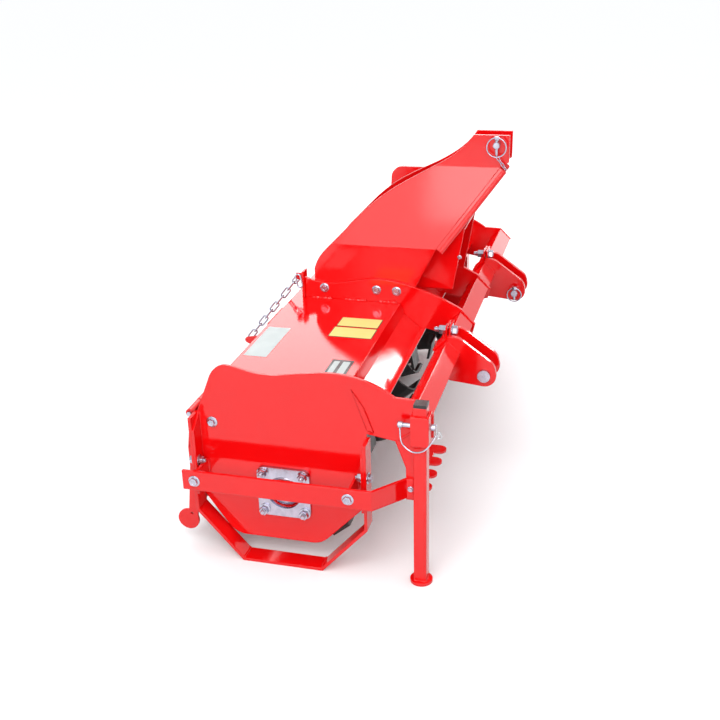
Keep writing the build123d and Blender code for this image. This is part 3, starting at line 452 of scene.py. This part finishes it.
def build_welds():
    bm = bmesh.new()
    for s in ENDS:
        hanger = HITCH_X + s * (HANGER_OUT + 1)
        for start, end in HANGER_WELDS:
            seam = [at(hanger, ahead, HOOD_SEAM) for ahead in (start, end)]
            weld(bm, *seam, HANGER_BEAD, HANGER_RIPPLE)
        weld(bm, *(at(s * (PLATE_FACE - SHEET_IN), ahead, HOOD_SEAM) for ahead in HOOD_SEAM_ENDS))
        for ahead, up in SKID_WELDS:
            weld(bm, *(at(s * x, ahead, up) for x in SKID_WELD_X))
        for ahead in STAYS_AHEAD:
            for side in (STAY_SIDE, -STAY_SIDE):
                weld(bm, *(at(s * (PLATE_FACE + 1), ahead + side, up) for up in STAY_UP))
    for x in EAR_X:
        for offset in EAR_PLATES:
            weld(bm, *(at(x + offset, TUBE_AHEAD + ahead, TUBE_UP + up) for ahead, up in EAR_WELD))
    for ahead in (SLEEVE_AHEAD - SLEEVE_SIDE, SLEEVE_AHEAD + SLEEVE_SIDE):
        weld(bm, *(at(PLATE_FACE + 1, ahead, up) for up in SLEEVE_UP))
    weld(bm, *(at(PLATE_FACE, *end) for end in NOSE_WELD))
    weld(bm, *(at(PLATE_FACE - SHEET_IN, *end) for end in DROP_WELD))
    piece("weld_beads", bm, "red_paint")


# Labels, left blank: x is measured from the right plate's outer face
HOOD_TOP = 303
LABEL_CORNER, LABEL_T, LABEL_BEVEL = 2.5, 0.7, 0.2
LABEL_BORDER, LABEL_LIFT, FIELD_LIFT = 2, 0.3, 0.5
WHITE_LABEL, DARK_LABEL = ((-353, -150), (-149, -85)), ((-172, -72), (90, 147))
YELLOW_LABELS = (("near", (-388, -322), (33, 151)), ("far", (-461, -399), (35, 150)))
FIELD_X = (-161, -83)
DARK_FIELDS = (("label_dark_field_rear", (97, 112)), ("label_dark_field_front", (121, 140)))


def label(name, finish, x, ahead, lift=0.0, border=0):
    """A thin plate on the hood's top, from x[0] to x[1] and ahead[0] to ahead[1], and a border round it."""
    bm = bmesh.new()
    inset = LABEL_CORNER - border
    left, right = x[0] + inset, x[1] - inset
    rear, front = ahead[0] + inset, ahead[1] - inset
    outline = []
    for k, (cx, cy) in enumerate(((right, front), (left, front), (left, rear), (right, rear))):
        middle = at(PLATE_FACE + cx, cy, HOOD_TOP + lift)
        outline += arc(middle, X * LABEL_CORNER * MM, Y * LABEL_CORNER * MM, 90 * k, 90 * k + 90, 6)
    slab(bm, outline, Z * LABEL_T * MM)
    bmesh.ops.bevel(bm, geom=list(bm.edges), offset=LABEL_BEVEL * MM, segments=1, affect="EDGES")
    piece(name, bm, finish)


def build_labels():
    label("label_white", "label_white", *WHITE_LABEL)
    for hand, x, ahead in YELLOW_LABELS:
        label(f"label_yellow_{hand}", "label_yellow", x, ahead, LABEL_LIFT)
        label(f"label_edge_{hand}", "label_dark", x, ahead, border=LABEL_BORDER)
    label("label_dark", "label_dark", *DARK_LABEL)
    for name, ahead in DARK_FIELDS:
        label(name, "label_white", FIELD_X, ahead, FIELD_LIFT)


# Tailboard chain
CHAIN_X = HITCH_X + 155
CHAIN_TOP, CHAIN_END = (-140, 368), (-314, 152)
LINKS, LINK_W, LINK_WIRE = 9, 20, 5
LINK_PLAY, CHAIN_SHIFT = 2, 1.55
SPARE_OUT, SPARE_PLACE, SPARE_L = 20, (-136, 357), 46
SPARE_HANG, SPARE_SIDE = Vector((0, 0.18, -0.98)).normalized(), Vector((0, 0.98, 0.18))


def link(bm, centre, along, across, length):
    """One chain link: a stadium of round wire."""
    r = (LINK_W - LINK_WIRE) / 2 * MM
    half = (length - LINK_W) / 2 * MM
    loop = arc(centre + along * half, across * r, along * r, 0, 180, 10)
    loop += arc(centre - along * half, across * r, along * r, 180, 360, 10)
    wire(bm, loop, LINK_WIRE / 2, 10, closed=True)


def build_chain():
    bm = bmesh.new()
    start, end = at(CHAIN_X, *CHAIN_TOP), at(CHAIN_X, *CHAIN_END)
    pitch = (end - start).length / LINKS
    along = (end - start).normalized()
    flat = along.cross(X)
    length = pitch / MM + 2 * LINK_WIRE + LINK_PLAY
    for k in range(LINKS):
        centre = start + along * (pitch * (k + 0.5) - CHAIN_SHIFT * MM)
        link(bm, centre, along, X if k % 2 else flat, length)
    chain = piece("tail_chain_links", bm, "zinc_plate", "chain_body")
    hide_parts("tail_chain")
    bm = bmesh.new()
    link(bm, at(CHAIN_X + SPARE_OUT, *SPARE_PLACE), SPARE_HANG, SPARE_SIDE, SPARE_L)
    piece("spare_link", bm, "zinc_plate")


# Drive case, gearbox and rotor
CASE_BOLTS = ((-50, 430), (-16, 485), (64, 485), (98, 430), (86, 250), (78, 100),
              (58, -40), (0, -68), (-58, -40), (-62, 100), (-56, 250))
CASE_INSET = 0.92
CASE_PLUG = (12, 160)
LID_BOLT_X, LID_BOLT_AHEAD = (-48, 48), (0, 110)
BREATHER_AHEAD = 55
BREATHER = [(0, 0), (15, 0), (15, 6), (11, 8), (11, 18), (14, 20), (14, 26), (0, 28)]
SEAL_BOLTS, SEAL_R, SEAL_PLACE = 8, 40, (176, 400)
FLANGES, FLANGE_PITCH = 6, 235
TINES, TINE_STAGGER_DEG = 6, 20
TINE_BOLT_ROWS = (54, 68)
TINE_FACE, FLANGE_FACE = 13, 5


def build_drive():
    bm = bmesh.new()
    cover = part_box("drive_case")[0].x / MM
    for ahead, up in CASE_BOLTS:
        bolt(bm, at(cover, ahead * CASE_INSET, up), -X, across=13, head=6)
    bolt(bm, at(cover, *CASE_PLUG), -X, across=19, head=9)
    piece("case_bolts", bm, "zinc_plate")
    bm = bmesh.new()
    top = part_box("gearbox")[1].z / MM - AXLE.z / MM
    for dx in LID_BOLT_X:
        for ahead in LID_BOLT_AHEAD:
            bolt(bm, at(HITCH_X + dx, ahead, top), Z, across=13, head=6)
    lathe(bm, at(HITCH_X, BREATHER_AHEAD, top), Z, BREATHER, 24)
    ahead, up = SEAL_PLACE
    for k in range(SEAL_BOLTS):
        a = math.tau * k / SEAL_BOLTS
        spot = at(HITCH_X + SEAL_R * math.cos(a), ahead, up + SEAL_R * math.sin(a))
        bolt(bm, spot, Y, across=10, head=5)
    piece("gearbox_bolts", bm, "zinc_plate")


def build_tine_bolts():
    bm = bmesh.new()
    for i in range(FLANGES):
        middle = FLANGE_PITCH * (i - (FLANGES - 1) / 2)
        for k in range(TINES):
            turn = math.radians(360 / TINES * k + TINE_STAGGER_DEG * i)
            hand = 1 - 2 * (k % 2)
            for out in TINE_BOLT_ROWS:
                ahead, up = -out * math.sin(turn), out * math.cos(turn)
                bolt(bm, at(middle + hand * TINE_FACE, ahead, up), hand * X, across=13, head=7)
                bolt(bm, at(middle - hand * FLANGE_FACE, ahead, up), -hand * X, across=13, head=6)
    piece("tine_bolts", bm, "black_paint", "rotor_body")


# Parking leg: the lock pin's bail and clip, as points out from the pin, ahead, and above the pin
LEG_PIN_OUT, LEG_PIN_UP = 22.5, 238
LEG_PIN_REAR, LEG_PIN_FRONT = 306, 396
BAIL = ((0, 310, 0), (3, 310, -14), (16, 318, -42), (26, 346, -57),
        (26, 376, -48), (10, 398, -16), (0, 396, 0))
CLIP = ((9, 397, 7), (9, 399, -8), (10, 405, -22), (10, 412, -18), (10, 406, -6), (10, 402, -26))
BAIL_WIRE, CLIP_WIRE = 2.0, 2.2
CUP_L = 10
CUP = [(0, 10.2), (6.2, 10.2), (6.2, 0), (8.5, 0), (8.5, 10), (7, 12), (0, 12)]


def build_leg():
    x = PLATE_FACE + LEG_PIN_OUT
    bail = [at(x + out, ahead, LEG_PIN_UP + up) for out, ahead, up in BAIL]
    clip = [at(x + out, ahead, LEG_PIN_UP + up) for out, ahead, up in CLIP]
    bm = bmesh.new()
    wire(bm, curve(bail), BAIL_WIRE, 8)
    for end, way in ((LEG_PIN_REAR, -Y), (LEG_PIN_FRONT, Y)):
        lathe(bm, at(x, end, LEG_PIN_UP) - way * CUP_L * MM, way, CUP, 18)
    piece("leg_pin_bail", bm, "zinc_plate")
    bm = bmesh.new()
    wire(bm, curve(clip), CLIP_WIRE, 8)
    piece("leg_pin_clip", bm, "bare_steel")


build_hitch_bolts()
build_pins()
build_side_bolts()
build_rib()
build_wing_rims()
build_hood_edge()
build_welds()
build_labels()
build_chain()
build_drive()
build_tine_bolts()
build_leg()


# Stage, light and camera, in metres
FLOOR_HALF = 30
FLOOR_LIT, FLOOR_SEEN = 0.40, 1.0
SKY_TINT, SKY_SPAN, SKY_LOW, SKY_HIGH = (0.97, 0.98, 1.0, 1), (0.0, 0.8), 0.10, 1.26
WHITE = (1, 1, 1, 1)
# Each lamp's name, place, aim, size, radiance, and roll in degrees
SOFTBOXES = (
    ("sky_left", (-4.0, -0.9, 2.3), (0, 0, 0.45), (2.6, 2.6), 2.5, 0.0),
    ("sky_slope", (-4.0, 2.20, 1.93), (0, 2.20, 1.93), (0.62, 0.9), 16.0, 15.4),
    ("sky_low", (-4.0, 1.2, 0.98), (0, 1.2, 0.98), (0.7, 0.6), 1.4, 0.0),
    ("sky_mid", (-4.0, 1.3, 1.8), (0, 1.3, 1.8), (1.1, 0.7), 0.6, 0.0),
    ("sky_wing", (3.0, 0.05, 3.85), (0, 0.2, 0.8), (1.4, 1.2), 3.6, 0.0),
    ("sky_wing_soft", (3.2, -0.2, 3.7), (0, 0.2, 0.8), (2.2, 1.9), 1.6, 0.0),
    ("sky_front", (4.4, 0.5, 1.9), (0, 0, 0.4), (3.6, 2.4), 2.8, 0.0),
)
# The camera that was fitted to the photo
CAMERA_RIGHT = Vector((-0.26117, 0.96491, -0.02704))
CAMERA_UP = Vector((-0.39225, -0.08049, 0.91633))
CAMERA_BACK = Vector((0.88201, 0.24993, 0.39950))
CAMERA_PLACE = at(2845.25, 797.32, 1352.53)
LENS_MM, SENSOR_MM = 50.803, 36.0
SHIFT_X, SHIFT_Y = 0.0065, -0.005


def in_view(n, l):
    """1 for what the camera sees straight, in a reflection or through glass, and 0 for the rest."""
    path = n.new("ShaderNodeLightPath")
    seen = path.outputs["Is Camera Ray"]
    for name in ("Is Glossy Ray", "Is Transmission Ray"):
        either = n.new("ShaderNodeMath")
        either.operation = "MAXIMUM"
        l.new(seen, either.inputs[0])
        l.new(path.outputs[name], either.inputs[1])
        seen = either.outputs[0]
    return seen


def build_floor():
    mesh = bpy.data.meshes.new("floor")
    turns = ((-1, -1), (1, -1), (1, 1), (-1, 1))
    corners = [(sx * FLOOR_HALF, sy * FLOOR_HALF, 0) for sx, sy in turns]
    mesh.from_pydata(corners, [], [(0, 1, 2, 3)])
    floor = bpy.data.objects.new("floor", mesh)
    bpy.context.scene.collection.objects.link(floor)
    mat, n, l, p = shader("floor_pale")
    tone = blend_colour(n, l, in_view(n, l), (FLOOR_LIT,) * 3, (FLOOR_SEEN,) * 3)
    l.new(tone, p.inputs["Base Color"])
    p.inputs["Roughness"].default_value = 0.9
    p.inputs["Specular IOR Level"].default_value = 0.0
    mesh.materials.append(mat)


def build_sky():
    """A soft sky, dim at the horizon, that is plain white where it is seen."""
    world = bpy.data.worlds.new("studio")
    bpy.context.scene.world = world
    world.use_nodes = True
    n, l = world.node_tree.nodes, world.node_tree.links
    n.clear()
    soft = n.new("ShaderNodeBackground")
    soft.inputs["Color"].default_value = SKY_TINT
    coords = n.new("ShaderNodeTexCoord")
    height = n.new("ShaderNodeSeparateXYZ")
    l.new(coords.outputs["Generated"], height.inputs["Vector"])
    l.new(ramp(n, l, height.outputs["Z"], SKY_SPAN, SKY_LOW, SKY_HIGH), soft.inputs["Strength"])
    white = n.new("ShaderNodeBackground")
    white.inputs["Color"].default_value = WHITE
    mix = n.new("ShaderNodeMixShader")
    l.new(in_view(n, l), mix.inputs["Fac"])
    l.new(soft.outputs[0], mix.inputs[1])
    l.new(white.outputs[0], mix.inputs[2])
    out = n.new("ShaderNodeOutputWorld")
    l.new(mix.outputs[0], out.inputs["Surface"])


def softbox(name, where, target, size, radiance, roll):
    light = bpy.data.lights.new(name, "AREA")
    light.shape = "RECTANGLE"
    light.size, light.size_y = size
    light.energy = radiance * math.pi * size[0] * size[1]
    obj = bpy.data.objects.new(name, light)
    bpy.context.scene.collection.objects.link(obj)
    obj.location = where
    aim = (Vector(target) - Vector(where)).to_track_quat("-Z", "Y")
    obj.rotation_euler = (aim @ Quaternion((0, 0, 1), math.radians(roll))).to_euler()
    obj.visible_camera = False


def build_camera():
    data = bpy.data.cameras.new("camera")
    cam = bpy.data.objects.new("camera", data)
    bpy.context.scene.collection.objects.link(cam)
    m = Matrix((CAMERA_RIGHT, CAMERA_UP, CAMERA_BACK)).transposed().to_4x4()
    m.translation = CAMERA_PLACE
    cam.matrix_world = m
    data.lens = LENS_MM
    data.sensor_width = SENSOR_MM
    data.shift_x = SHIFT_X
    data.shift_y = SHIFT_Y
    bpy.context.scene.camera = cam


build_floor()
build_sky()
for lamp in SOFTBOXES:
    softbox(*lamp)
build_camera()

scene = bpy.context.scene
scene.view_settings.view_transform = "Standard"
